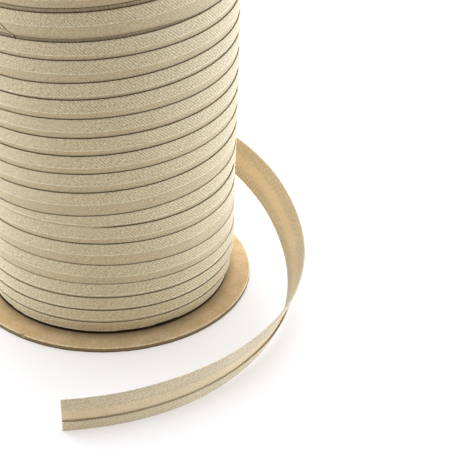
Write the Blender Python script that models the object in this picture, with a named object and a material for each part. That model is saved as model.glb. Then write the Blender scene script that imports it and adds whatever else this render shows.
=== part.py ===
"""Spool of folded bias binding, standing on end with its loose end drawn out in front.

Metres, +Z up. The origin is the centre of the underside of the bottom flange. Angles round the
spool are counted from the front (-Y), positive towards +X, so the binding runs downwards and
clockwise as seen from above.
"""
import math
from collections import namedtuple

import bmesh
import bpy
from mathutils import Matrix, Vector

# Driving dimensions
MM = 0.001
CLEARANCE = 0.3 * MM

SPOOL_HEIGHT = 220.0 * MM
FLANGE_RADIUS = 85.3 * MM
FLANGE_THICKNESS = 3.0 * MM
FLANGE_EDGE_ROUND = 0.5 * MM
FLANGE_SIDES = 96

ROLL_FOOT = FLANGE_THICKNESS + CLEARANCE
ROLL_HEAD = SPOOL_HEIGHT - FLANGE_THICKNESS - CLEARANCE
ROLL_COLUMNS = 64

# Outline of the roll, from the foot up: the radius at each height, in mm. The lowest turns bulge
# over a foot that is drawn in.
Level = namedtuple("Level", "height radius")
ROLL_OUTLINE = (
    Level(0.0, 69.3),
    Level(8.0, 72.1),
    Level(18.0, 74.3),
    Level(32.0, 75.5),
    Level(55.0, 75.6),
    Level(85.0, 76.1),
    Level(120.0, 77.3),
    Level(160.0, 78.0),
    Level(200.0, 78.1),
    Level(230.0, 77.6),
)

BINDING_WIDTH = 20.7 * MM
TOP_FLAP_WIDTH = 7.3 * MM
LOW_FLAP_WIDTH = 6.2 * MM
CLOTH_THICKNESS = 1.0 * MM
FLAP_THICKNESS = 1.5 * MM
LOOSE_SECTIONS = 64
HALF_DEGREE = 0.5

# Crevices between the turns of the outermost layer, from the foot up. Each row gives the height
# of a crevice at the front of the roll and how far its ring is tipped up towards the right, in mm.
Turn = namedtuple("Turn", "front tilt")
TURNS = (
    Turn(-21.0, -1.5),
    Turn(-10.0, -1.5),
    Turn(1.0, -1.5),
    Turn(12.1, -1.8),
    Turn(21.4, -1.9),
    Turn(30.8, -2.3),
    Turn(39.9, -3.0),
    Turn(52.3, -4.5),
    Turn(66.3, -2.6),
    Turn(77.1, -0.8),
    Turn(84.9, 2.5),
    Turn(100.0, 3.0),
    Turn(111.5, 3.0),
    Turn(122.7, 3.0),
    Turn(133.8, 3.1),
    Turn(145.3, 3.1),
    Turn(156.5, 4.2),
    Turn(166.7, 4.3),
    Turn(179.2, 3.6),
    Turn(190.5, 3.9),
    Turn(205.3, 4.2),
    Turn(220.0, 4.0),
    Turn(232.0, 4.0),
    Turn(244.0, 4.0),
)

# One crevice is a slipped turn: it opens only on the right and behind, and is shut on the left.
SLIPPED_TURN = 9
SLIPPED_SHUTS = math.radians(-150.0)
SLIPPED_OPENS = math.radians(-5.0)
SLIPPED_RAMP = math.radians(20.0)

# Section of one turn, from the crevice at its foot up: a strip of single cloth, then the raw edge
# of the top flap, then the flap up to its fold, which stands proudest. STAND is how far the cloth
# stands out from the roll's radius.
FLAP_SHOWN = 7.6 * MM
LEAST_STRIP = 0.8 * MM
EDGE_STEP = 0.7 * MM
RIM_DROP = 0.8 * MM
CREVICE_STAND = -1.3 * MM
STRIP_STAND = -0.45 * MM
EDGE_STAND = 0.0
RIM_STAND = 0.3 * MM
SHUT_STAND = 0.15 * MM
POINTS_PER_TURN = 4

# The skin of the turns runs past both ends of the roll and closes in a point on the axis, before
# the ends are cut flat.
FOOT_TIP = -22.0 * MM
HEAD_TIP = 253.0 * MM

# Route of the loose end from where it leaves the roll, behind, to its cut end in front: angle
# round the spool, distance of its foot from the axis, height of its foot (both mm), and how far
# the tape leans outwards.
Stop = namedtuple("Stop", "angle reach foot lean")
ROUTE = (
    Stop(200.0, 76.8, 61.0, 3.0),
    Stop(185.0, 77.0, 59.6, 3.5),
    Stop(170.0, 79.0, 56.2, 5.0),
    Stop(155.0, 83.2, 51.2, 8.0),
    Stop(140.0, 88.2, 45.4, 12.0),
    Stop(125.0, 93.0, 38.8, 20.0),
    Stop(110.0, 96.7, 31.0, 28.0),
    Stop(95.0, 100.9, 23.2, 30.0),
    Stop(80.0, 106.8, 15.5, 29.0),
    Stop(55.0, 118.9, 5.4, 20.0),
    Stop(30.0, 132.0, 0.9, 9.0),
    Stop(10.0, 144.2, 0.0, 0.0),
    Stop(-10.6, 155.6, 0.0, 0.0),
)

# Colours of the finishes
CLOTH_COLOUR = (0.52, 0.43, 0.28, 1.0)
BOARD_COLOUR = (0.60, 0.42, 0.23, 1.0)
CLOTH_ROUGHNESS = 0.9
BOARD_ROUGHNESS = 0.85


def clear_scene():
    """Remove every object that the file starts with."""
    for old in list(bpy.data.objects):
        bpy.data.objects.remove(old, do_unlink=True)


def make_material(name, colour, roughness):
    """A plain Principled material."""
    material = bpy.data.materials.new(name)
    material.use_nodes = True
    shader = material.node_tree.nodes["Principled BSDF"]
    shader.inputs["Base Color"].default_value = colour
    shader.inputs["Roughness"].default_value = roughness
    shader.inputs["Metallic"].default_value = 0.0
    return material


def add_object(name, mesh_builder, material):
    """Put a bmesh into the scene as a named object with its material."""
    bmesh.ops.recalc_face_normals(mesh_builder, faces=mesh_builder.faces)
    mesh = bpy.data.meshes.new(name)
    mesh_builder.to_mesh(mesh)
    mesh_builder.free()
    mesh.shade_smooth()
    mesh.set_sharp_from_angle(angle=math.radians(35.0))
    mesh.materials.append(material)
    piece = bpy.data.objects.new(name, mesh)
    bpy.context.scene.collection.objects.link(piece)
    return piece


def smooth_step(value):
    """0 below 0, 1 above 1, and a soft ramp between them."""
    value = min(max(value, 0.0), 1.0)
    return value * value * (3.0 - 2.0 * value)


def curve_through(places, values, place):
    """Value at a place on the smooth curve through the given values; places rise."""
    last = len(places) - 2
    span = max(min(sum(1 for p in places if p <= place) - 1, last), 0)

    def slope(i):
        low = max(i - 1, 0)
        high = min(i + 1, len(places) - 1)
        return (values[high] - values[low]) / (places[high] - places[low])

    width = places[span + 1] - places[span]
    t = (place - places[span]) / width
    start_share = (1.0 + 2.0 * t) * (1.0 - t) ** 2
    end_share = t * t * (3.0 - 2.0 * t)
    start_bend = t * (1.0 - t) ** 2 * width
    end_bend = -t * t * (1.0 - t) * width
    return (
        values[span] * start_share
        + values[span + 1] * end_share
        + slope(span) * start_bend
        + slope(span + 1) * end_bend
    )


def roll_radius(height):
    """Radius of the slightly bulging roll at a height."""
    heights = [level.height for level in ROLL_OUTLINE]
    radii = [level.radius for level in ROLL_OUTLINE]
    within = min(max(height / MM, heights[0]), heights[-1])
    return curve_through(heights, radii, within) * MM


def crevice_height(turn, angle):
    """Height of a crevice at an angle from -180 to 180 degrees, in radians."""
    numbers = range(len(TURNS))
    place = turn + angle / math.tau
    front = curve_through(numbers, [t.front for t in TURNS], place)
    tilt = curve_through(numbers, [t.tilt for t in TURNS], place)
    return (front + tilt * math.sin(angle)) * MM


def crevice_shut(turn, angle):
    """How far a crevice is closed: 1 on the left of the slipped turn, 0 elsewhere."""
    if turn != SLIPPED_TURN:
        return 0.0
    closing = smooth_step((angle - SLIPPED_SHUTS) / SLIPPED_RAMP)
    opening = smooth_step((angle - SLIPPED_OPENS) / SLIPPED_RAMP)
    return closing * (1.0 - opening)


def turn_points(turn, angle):
    """Points up the section of one turn at an angle, from the crevice at its foot to its fold."""
    low = crevice_height(turn, angle)
    high = crevice_height(turn + 1, angle)
    edge = max(high - FLAP_SHOWN, low + LEAST_STRIP + EDGE_STEP)
    shut_below = crevice_shut(turn, angle)
    shut_above = crevice_shut(turn + 1, angle)
    section = (
        (low, CREVICE_STAND, shut_below),
        (edge - EDGE_STEP, STRIP_STAND, shut_below),
        (edge, EDGE_STAND, shut_below),
        (high - RIM_DROP, RIM_STAND, shut_above),
    )
    points = []
    for height, stand, shut in section:
        radius = roll_radius(height) + stand + (SHUT_STAND - stand) * shut
        points.append(Vector((radius * math.sin(angle), -radius * math.cos(angle), height)))
    return points


def build_flange(name, underside, material):
    """A board disc with softly rounded edges, turned about the axis."""
    top = underside + FLANGE_THICKNESS
    inner = FLANGE_RADIUS - FLANGE_EDGE_ROUND
    half_round = FLANGE_EDGE_ROUND * (1.0 - math.sqrt(0.5))
    profile = (
        (inner, underside),
        (FLANGE_RADIUS - half_round, underside + half_round),
        (FLANGE_RADIUS, underside + FLANGE_EDGE_ROUND),
        (FLANGE_RADIUS, top - FLANGE_EDGE_ROUND),
        (FLANGE_RADIUS - half_round, top - half_round),
        (inner, top),
    )
    disc = bmesh.new()
    rings = []
    for radius, height in profile:
        ring = []
        for side in range(FLANGE_SIDES):
            angle = math.tau * side / FLANGE_SIDES
            ring.append(disc.verts.new((radius * math.cos(angle), radius * math.sin(angle), height)))
        rings.append(ring)
    for below, above in zip(rings, rings[1:]):
        for side in range(FLANGE_SIDES):
            after = (side + 1) % FLANGE_SIDES
            disc.faces.new((below[side], below[after], above[after], above[side]))
    disc.faces.new(list(reversed(rings[0])))
    disc.faces.new(rings[-1])
    return add_object(name, disc, material)


def build_roll(name, material):
    """The wound turns as one solid: a helical skin, its ends cut flat between the flanges."""
    skin = bmesh.new()
    columns = []
    for column in range(ROLL_COLUMNS):
        angle = -math.pi + math.tau * column / ROLL_COLUMNS
        points = []
        for turn in range(1, len(TURNS) - 2):
            points += turn_points(turn, angle)
        columns.append([skin.verts.new(point) for point in points])
    last_column = columns[-1]
    rows = len(last_column)
    for left, right in zip(columns, columns[1:]):
        for row in range(rows - 1):
            skin.faces.new((left[row], right[row], right[row + 1], left[row + 1]))
    # After one turn round the roll each row has climbed to the next turn.
    for row in range(rows - 1 - POINTS_PER_TURN):
        low = row + POINTS_PER_TURN
        skin.faces.new((last_column[row], columns[0][low], columns[0][low + 1], last_column[row + 1]))
    foot_rim = [column[0] for column in columns]
    foot_rim += [columns[0][row] for row in range(POINTS_PER_TURN, 0, -1)]
    head_rim = [column[-1] for column in columns]
    head_rim += [last_column[-1 - row] for row in range(1, POINTS_PER_TURN + 1)]
    close_with_fan(skin, foot_rim, FOOT_TIP)
    close_with_fan(skin, head_rim, HEAD_TIP)
    roll = add_object(name, skin, material)
    trim = roll.modifiers.new("flat ends", "BOOLEAN")
    trim.operation = "INTERSECT"
    trim.solver = "EXACT"
    trim.object = build_end_guide(material)
    return roll


def close_with_fan(skin, rim, height):
    """Close a rim with triangles to a point on the axis."""
    tip = skin.verts.new((0.0, 0.0, height))
    for here, after in zip(rim, rim[1:] + rim[:1]):
        skin.faces.new((here, after, tip))


def build_end_guide(material):
    """The hidden block between the flanges that trims the roll's ends flat."""
    height = ROLL_HEAD - ROLL_FOOT
    middle = (ROLL_HEAD + ROLL_FOOT) / 2.0
    width = 3.0 * FLANGE_RADIUS
    block = bmesh.new()
    place = Matrix.Translation((0.0, 0.0, middle)) @ Matrix.Diagonal((width, width, height, 1.0))
    bmesh.ops.create_cube(block, size=1.0, matrix=place)
    guide = add_object("end_guide", block, material)
    guide.hide_render = True
    guide.display_type = "WIRE"
    return guide


def loose_foot(angle):
    """Foot of the loose end and its outward lean, at an angle round the spool in degrees."""
    stops = ROUTE[::-1]
    angles = [stop.angle for stop in stops]
    reach = curve_through(angles, [stop.reach for stop in stops], angle) * MM
    foot = max(curve_through(angles, [stop.foot for stop in stops], angle), 0.0) * MM
    lean = math.radians(max(curve_through(angles, [stop.lean for stop in stops], angle), 0.0))
    turned = math.radians(angle)
    return Vector((reach * math.sin(turned), -reach * math.cos(turned), foot)), lean


def loose_section():
    """Section of the folded binding: height up its width, and depth out from its middle."""
    back = -CLOTH_THICKNESS / 2.0
    face = back + CLOTH_THICKNESS
    flap = back + FLAP_THICKNESS
    top_flap_edge = BINDING_WIDTH - TOP_FLAP_WIDTH
    return (
        (0.0, back),
        (0.0, flap),
        (LOW_FLAP_WIDTH, flap),
        (LOW_FLAP_WIDTH, face),
        (top_flap_edge, face),
        (top_flap_edge, flap),
        (BINDING_WIDTH, flap),
        (BINDING_WIDTH, back),
    )


def build_loose_end(name, material):
    """The free stretch of binding, with its two flaps turned in on the outer face."""
    start = ROUTE[0].angle
    step = (ROUTE[-1].angle - start) / LOOSE_SECTIONS
    tape = bmesh.new()
    sections = []
    for number in range(LOOSE_SECTIONS + 1):
        angle = start + step * number
        foot, lean = loose_foot(angle)
        ahead = loose_foot(max(angle - HALF_DEGREE, ROUTE[-1].angle))[0]
        behind = loose_foot(min(angle + HALF_DEGREE, start))[0]
        along = (ahead - behind).normalized()
        outward = Vector((along.y, -along.x, 0.0)).normalized()
        if outward.dot(Vector((foot.x, foot.y, 0.0))) < 0.0:
            outward.negate()
        upright = outward.cross(along).normalized()
        if upright.z < 0.0:
            upright.negate()
        width_way = upright * math.cos(lean) + outward * math.sin(lean)
        depth_way = outward * math.cos(lean) - upright * math.sin(lean)
        section = []
        for height, depth in loose_section():
            section.append(tape.verts.new(foot + width_way * height + depth_way * depth))
        sections.append(section)
    corners = len(sections[0])
    for here, after in zip(sections, sections[1:]):
        for corner in range(corners):
            beside = (corner + 1) % corners
            tape.faces.new((here[corner], here[beside], after[beside], after[corner]))
    tape.faces.new(sections[0])
    tape.faces.new(list(reversed(sections[-1])))
    return add_object(name, tape, material)


def main():
    """Build the spool."""
    clear_scene()
    cloth = make_material("bias_cloth", CLOTH_COLOUR, CLOTH_ROUGHNESS)
    loose_cloth = make_material("bias_cloth_loose", CLOTH_COLOUR, CLOTH_ROUGHNESS)
    board = make_material("kraft_board", BOARD_COLOUR, BOARD_ROUGHNESS)
    board_top = make_material("kraft_board_top", BOARD_COLOUR, BOARD_ROUGHNESS)
    build_flange("bottom_flange", 0.0, board)
    build_flange("top_flange", SPOOL_HEIGHT - FLANGE_THICKNESS, board_top)
    build_roll("wound_roll", cloth)
    build_loose_end("loose_end", loose_cloth)


main()
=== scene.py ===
"""Looks of a trade spool of folded bias binding with its loose end drawn out in front.

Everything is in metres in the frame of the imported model: +Z up, the spool standing on the
surface at its bottom board, and the front at -Y. Angles round the spool are counted from the
front, positive towards +X. The binding is one strip of cloth, cut on the bias and folded so that
its two edges lie on its face, wound downwards and clockwise as seen from above.
"""
from __future__ import annotations

import logging
import math
from collections.abc import Callable, Sequence
from dataclasses import dataclass
from enum import Enum, IntEnum
from functools import partial
from typing import Any, NamedTuple

import bmesh
import bpy
import numpy as np
from bpy.types import Material, Mesh, Node, NodeSocket, NodeTree, Object
from mathutils import Matrix, Vector


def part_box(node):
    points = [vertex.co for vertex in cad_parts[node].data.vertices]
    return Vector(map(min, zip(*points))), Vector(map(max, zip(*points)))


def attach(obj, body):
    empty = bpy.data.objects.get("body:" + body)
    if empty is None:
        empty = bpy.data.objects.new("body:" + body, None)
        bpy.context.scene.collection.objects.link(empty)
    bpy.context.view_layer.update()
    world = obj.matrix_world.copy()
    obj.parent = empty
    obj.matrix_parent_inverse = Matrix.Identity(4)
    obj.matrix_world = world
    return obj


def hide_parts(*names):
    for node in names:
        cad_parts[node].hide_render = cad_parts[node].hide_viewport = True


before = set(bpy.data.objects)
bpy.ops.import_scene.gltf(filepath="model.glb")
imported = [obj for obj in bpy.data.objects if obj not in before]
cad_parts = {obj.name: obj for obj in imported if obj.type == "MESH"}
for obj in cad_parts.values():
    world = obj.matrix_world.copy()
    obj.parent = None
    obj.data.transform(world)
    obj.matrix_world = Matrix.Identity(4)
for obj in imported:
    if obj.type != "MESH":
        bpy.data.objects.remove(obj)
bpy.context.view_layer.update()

LOG = logging.getLogger("bias_binding")
MM = 0.001
# The scale at which a wave texture's bands are one metre apart.
WAVE_UNIT = math.tau / 20.0
# A section's points beyond this place belong to the crevice at the strip's head.
HEAD_PART = 1.05
# A Mix node's two values are its inputs 2 and 3 for numbers, 4 and 5 for vectors, 6 and 7 for colours.
MIX_NUMBER, MIX_VECTOR, MIX_COLOUR = 2, 4, 6
BODY = "root"
PHOTO_SIDE = 470
SENSOR_WIDTH = 36.0
WELD_DISTANCE = 0.01 * MM


class Rail(IntEnum):
    """The three lines that a strip of binding follows."""

    FOOT = 0
    MIDDLE = 1
    HEAD = 2


class Slot(Enum):
    """Names of the material slots for the cloth and the board."""

    CLOTH = "bias_cloth"
    BOARD = "kraft_board"


class Turn(NamedTuple):
    """A crevice between two turns.

    front is its height in front and tilt how far it rises to the right, in mm. press says how far
    it is pressed shut, and gape how far it stands open over a second fold.
    """

    front: float
    tilt: float
    press: float = 0.0
    gape: float = 0.0


class Level(NamedTuple):
    """A height on the roll and its radius there, in mm."""

    height: float
    radius: float


class Stop(NamedTuple):
    """A place on the loose end's way: angle, distance from the axis and height in mm, and lean."""

    angle: float
    reach: float
    foot: float
    lean: float


class SectionPoint(NamedTuple):
    """A point of a strip's section.

    at runs from 0 at the foot rail over 1 at the middle rail to 2 at the head rail. rise, stand
    and across are in mm, and across, the place across the flat cloth, is the rise if not given.
    free says how much the cloth may wander there, single how far it is one layer of cloth, edge
    how far it is a raw edge, and depth how much painted shade its colour gets, as deep in a
    crevice.
    """

    at: float
    rise: float
    stand: float
    free: float = 1.0
    single: float = 0.0
    edge: float = 0.0
    depth: float = 0.0
    across: float | None = None


class Sway(NamedTuple):
    """Chance wandering along a line: spacing of its chance values, the largest of them, and a seed."""

    spacing: float
    amount: float
    seed: int


class Ramp(NamedTuple):
    """A ramp, as a Map Range node has it: over the values from low to high it goes from start to end."""

    low: float
    high: float
    start: float = 0.0
    end: float = 1.0


def linear(code: str) -> tuple[float, float, float, float]:
    """Turn an sRGB hex code into a linear colour.

    Args:
        code: six hex digits after a number sign.

    Returns:
        Red, green, blue and alpha, from 0 to 1.
    """
    parts = []
    for start in (1, 3, 5):
        value = int(code[start:start + 2], 16) / 255.0
        parts.append(value / 12.92 if value <= 0.04045 else ((value + 0.055) / 1.055) ** 2.4)
    return parts[0], parts[1], parts[2], 1.0


def add_node(tree: NodeTree, kind: str, inputs: dict[Any, Any] | Sequence[Any] = (),
             **settings: Any) -> Node:
    """Add one node with its settings and links.

    Args:
        tree: the tree that gets the node.
        kind: Blender's class name of the node.
        inputs: values by an input's name or number, or in the inputs' order. A value may be a
            socket that feeds the input, or a node, which feeds it from its first output in use.
        settings: the node's own properties.

    Returns:
        The new node.
    """
    node = tree.nodes.new(kind)
    for name, value in settings.items():
        setattr(node, name, value)
    for key, value in inputs.items() if isinstance(inputs, dict) else enumerate(inputs):
        if isinstance(value, Node):
            value = next(output for output in value.outputs if output.enabled)
        if isinstance(value, NodeSocket):
            tree.links.new(value, node.inputs[key])
        else:
            node.inputs[key].default_value = value
    return node


def new_material(name: str) -> tuple[Material, NodeTree]:
    """Make a material with an empty tree.

    Args:
        name: name of the material.

    Returns:
        The material and its tree.
    """
    material = bpy.data.materials.new(name)
    material.use_nodes = True
    material.node_tree.nodes.clear()
    return material, material.node_tree


def lay_colours(tree: NodeTree, ground: str, layers: Sequence[tuple[Any, str]]) -> Node:
    """Lay colours over each other.

    Args:
        tree: the material's tree.
        ground: the lowest colour.
        layers: how far each further colour covers what lies under it, and the colour.

    Returns:
        The node that gives the last mix.
    """
    below = linear(ground)
    for cover, code in layers:
        below = add_node(tree, "ShaderNodeMix", {
            0: cover, MIX_COLOUR: below, MIX_COLOUR + 1: linear(code)}, data_type="RGBA")
    return below


def smooth_step(values: np.ndarray) -> np.ndarray:
    """0 below 0, 1 above 1, and a soft ramp between them."""
    values = np.clip(values, 0.0, 1.0)
    return values * values * (3.0 - 2.0 * values)


def curve_through(places: Sequence[float], values: Sequence[float], at: np.ndarray) -> np.ndarray:
    """Read a smooth curve that passes through given values.

    Args:
        places: rising places of the values.
        values: the value at each place.
        at: places to read.

    Returns:
        The value at each place in at.
    """
    knots = np.asarray(places, float)
    heights = np.asarray(values, float)
    span = np.clip(np.searchsorted(knots, at, side="right") - 1, 0, len(knots) - 2)
    numbers = np.arange(len(knots))
    low = np.maximum(numbers - 1, 0)
    high = np.minimum(numbers + 1, len(knots) - 1)
    slopes = (heights[high] - heights[low]) / (knots[high] - knots[low])
    width = knots[span + 1] - knots[span]
    t = (at - knots[span]) / width
    start = (1.0 + 2.0 * t) * (1.0 - t) ** 2 * heights[span]
    end = t * t * (3.0 - 2.0 * t) * heights[span + 1]
    bend = (t * (1.0 - t) ** 2 * slopes[span] - t * t * (1.0 - t) * slopes[span + 1]) * width
    return start + end + bend


def wander(at: np.ndarray, *sways: Sway) -> np.ndarray:
    """Smooth chance wandering along a line, the same each run.

    Args:
        at: places along the line, none below 0.
        sways: the wanderings that are added up, in the units of at.

    Returns:
        The sum of the wanderings at each place.
    """
    total = 0.0
    for sway in sways:
        steps = np.asarray(at, float) / sway.spacing
        draw = np.random.default_rng(sway.seed).uniform
        knots = draw(-sway.amount, sway.amount, int(steps.max()) + 3)
        whole = np.floor(steps).astype(int)
        share = smooth_step(steps - whole)
        total = total + (knots[whole] * (1.0 - share) + knots[whole + 1] * share)
    return total


def new_object(name: str, mesh: Mesh) -> Object:
    """Link a new object with this mesh to the scene."""
    piece = bpy.data.objects.new(name, mesh)
    bpy.context.scene.collection.objects.link(piece)
    return piece


def add_values(mesh: Mesh, name: str, kind: str, values: np.ndarray) -> None:
    """Give each point of a mesh a named value.

    Args:
        mesh: the mesh.
        name: name of the attribute.
        kind: FLOAT or FLOAT_VECTOR.
        values: one value for each point.
    """
    attribute = mesh.attributes.new(name, kind, "POINT")
    field = "value" if kind == "FLOAT" else "vector"
    attribute.data.foreach_set(field, np.asarray(values, np.float32).ravel())


def run_tree(name: str, base: Object, tree: NodeTree, values: dict[str, Any]) -> Object:
    """Run a Geometry Nodes tree on an object and keep the result as a plain mesh.

    Args:
        name: name of the new piece.
        base: the object that the tree starts from; it is removed.
        tree: the tree.
        values: the tree's named inputs.

    Returns:
        The new piece, with no modifier.
    """
    modifier = base.modifiers.new("form", "NODES")
    modifier.node_group = tree
    for item in tree.interface.items_tree:
        if item.item_type == "SOCKET" and item.in_out == "INPUT" and item.name in values:
            modifier[item.identifier] = values[item.name]
    depsgraph = bpy.context.evaluated_depsgraph_get()
    depsgraph.update()
    mesh = bpy.data.meshes.new_from_object(
        base.evaluated_get(depsgraph), preserve_all_data_layers=True, depsgraph=depsgraph)
    mesh.name = name
    bpy.data.objects.remove(base, do_unlink=True)
    return new_object(name, mesh)


def finish_mesh(piece: Object, work: Callable[[bmesh.types.BMesh], None]) -> None:
    """Edit a piece's mesh with bmesh, then point its faces outwards.

    Args:
        piece: the piece.
        work: what is done to the mesh.
    """
    builder = bmesh.new()
    builder.from_mesh(piece.data)
    work(builder)
    bmesh.ops.recalc_face_normals(builder, faces=builder.faces)
    for face in builder.faces:
        face.smooth = True
    builder.to_mesh(piece.data)
    builder.free()


@dataclass(frozen=True)
class BiasCloth:
    """Cotton and polyester twill cut on the bias, pressed and wound.

    Its threads run at 45 degrees to the strip's length, which gives the eye a fine slanting
    speckle, and its brushed surface scatters light softly, with a pale bloom at grazing angles.
    The real threads are 0.35 mm apart and too fine for a picture of the whole spool, so the
    speckle is drawn at about two threads' width.
    """

    name: str
    face: str = "#EAD9B2"
    groove: str = "#B7A37F"
    # single, the one layer's colour, is partly the cloth's other side; on the roll it is darker as
    # painted shade of the recessed strip, on the loose end yellower as painted light shining through.
    single: str = "#C0A77E"
    # pale is the raw edge's light dashes: partly loose threads, partly a painted highlight.
    pale: str = "#FDF1D0"
    bloom: str = "#F4EDE2"
    # crevice is the colour of painted shade, laid on where a point's depth says: in the crevices between
    # turns, under the lowest turn and on the loose end's shaded parts.
    crevice: str = "#432A04"
    thread: str = "#4A3A28"
    twill_angle: float = math.radians(45.0)
    twill_pitch: float = 1.3 * MM
    grain_width: float = 0.6 * MM
    grain_length: float = 1.7 * MM
    crumb: float = 0.5 * MM
    clouds_per_metre: float = 35.0
    tufts_per_metre: float = 400.0
    crumb_share: float = 0.45
    twill_share: float = 0.10
    single_share: float = 0.4
    speckle: Ramp = Ramp(0.42, 0.58)
    fray: Ramp = Ramp(0.40, 0.60, 0.25)
    drift: Ramp = Ramp(0.3, 0.7, 0.955, 1.03)
    see_through: float = 0.0
    bump_height: float = 0.16 * MM
    join_at: float | None = None
    join_slant: float = 1.25
    join_line: Ramp = Ramp(0.35 * MM, 0.75 * MM, 0.95, 0.0)
    join_ends = ((0.0018, -0.0042), (0.0034, -0.0050))

    def draw_join(self, tree: NodeTree, lay: Node) -> Node:
        """Draw the bias join, a slanting seam across the strip with two thread ends beside it.

        Args:
            tree: the material's tree.
            lay: gives the place on the flat cloth.

        Returns:
            The node that says how dark the join's threads are, from 0 to 1.
        """
        add = partial(add_node, tree)
        on_join = add("ShaderNodeVectorMath", (lay, (-self.join_at, 0.0, 0.0)), operation="ADD")
        along, across, _ = add("ShaderNodeSeparateXYZ", (on_join,)).outputs
        slanting = add("ShaderNodeMath", (across, self.join_slant, along), operation="MULTIPLY_ADD")
        away = add("ShaderNodeMath", (slanting,), operation="ABSOLUTE")
        for place in self.join_ends:
            distance = add("ShaderNodeVectorMath", (on_join, (*place, 0.0)), operation="DISTANCE")
            away = add("ShaderNodeMath", (away, distance), operation="MINIMUM")
        return add("ShaderNodeMapRange", (away, *self.join_line))

    def build(self) -> Material:
        """Make the material, with its pattern on the strip's own UV map.

        Returns:
            The cloth's material.
        """
        material, tree = new_material(self.name)
        add = partial(add_node, tree)
        lay = add("ShaderNodeUVMap", uv_map="UVMap")
        slant = add("ShaderNodeMapping", {
            "Vector": lay, "Rotation": (0.0, 0.0, self.twill_angle)}, vector_type="POINT")
        drawn = add("ShaderNodeMapping", {
            "Vector": slant, "Scale": (1.0 / self.grain_length, 1.0 / self.grain_width, 1.0)},
            vector_type="POINT")
        threads, crumbs, clouds, tufts = (
            add("ShaderNodeTexNoise", {
                "Vector": place, "Scale": scale, "Detail": detail, "Roughness": roughness})
            for place, scale, detail, roughness in (
                (drawn, 1.0, 1.0, 0.5), (lay, 1.0 / self.crumb, 2.0, 0.6),
                (lay, self.clouds_per_metre, 2.0, 0.5), (lay, self.tufts_per_metre, 2.0, 0.7)))
        twill = add("ShaderNodeTexWave", {
            "Vector": slant, "Scale": WAVE_UNIT / self.twill_pitch, "Distortion": 1.6,
            "Detail": 1.0, "Detail Scale": 1.0}, wave_type="BANDS", bands_direction="Y")
        grain = threads
        for share, layer in ((self.crumb_share, crumbs), (self.twill_share, twill.outputs["Fac"])):
            grain = add("ShaderNodeMix", {0: share, MIX_NUMBER: grain, MIX_NUMBER + 1: layer},
                        data_type="FLOAT")
        single, edge, depth = (add("ShaderNodeAttribute", attribute_name=name).outputs["Fac"]
                               for name in ("single", "raw_edge", "depth"))
        spread = add("ShaderNodeMapRange", (grain, *self.speckle))
        hold = add("ShaderNodeMath", (single, self.single_share), operation="MULTIPLY")
        stitchy = add("ShaderNodeMapRange", (tufts, *self.fray))
        # The pale dashes along raw edges are partly loose threads and partly a painted highlight.
        frayed_and_highlight = add("ShaderNodeMath", (edge, stitchy), operation="MULTIPLY")
        # depth lays the crevice colour on as painted shade.
        layers = [(spread, self.face), (hold, self.single), (frayed_and_highlight, self.pale), (depth, self.crevice)]
        if self.join_at is not None:
            layers.append((self.draw_join(tree, lay), self.thread))
        tone = lay_colours(tree, self.groove, layers)
        shade = add("ShaderNodeMapRange", (clouds, *self.drift))
        colour = add("ShaderNodeVectorMath", {0: tone, "Scale": shade}, operation="SCALE")
        bump = add("ShaderNodeBump", {"Height": grain, "Strength": 0.8, "Distance": self.bump_height})
        surface = add("ShaderNodeBsdfPrincipled", {
            "Base Color": colour, "Roughness": 0.9, "Specular IOR Level": 0.08, "Sheen Weight": 0.38,
            "Sheen Roughness": 0.40, "Sheen Tint": linear(self.bloom), "Normal": bump})
        if self.see_through > 0.0:
            glow = add("ShaderNodeBsdfTranslucent", {"Color": colour, "Normal": bump})
            surface = add("ShaderNodeMixShader", (self.see_through, surface, glow))
        add("ShaderNodeOutputMaterial", {"Surface": surface})
        return material


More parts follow.
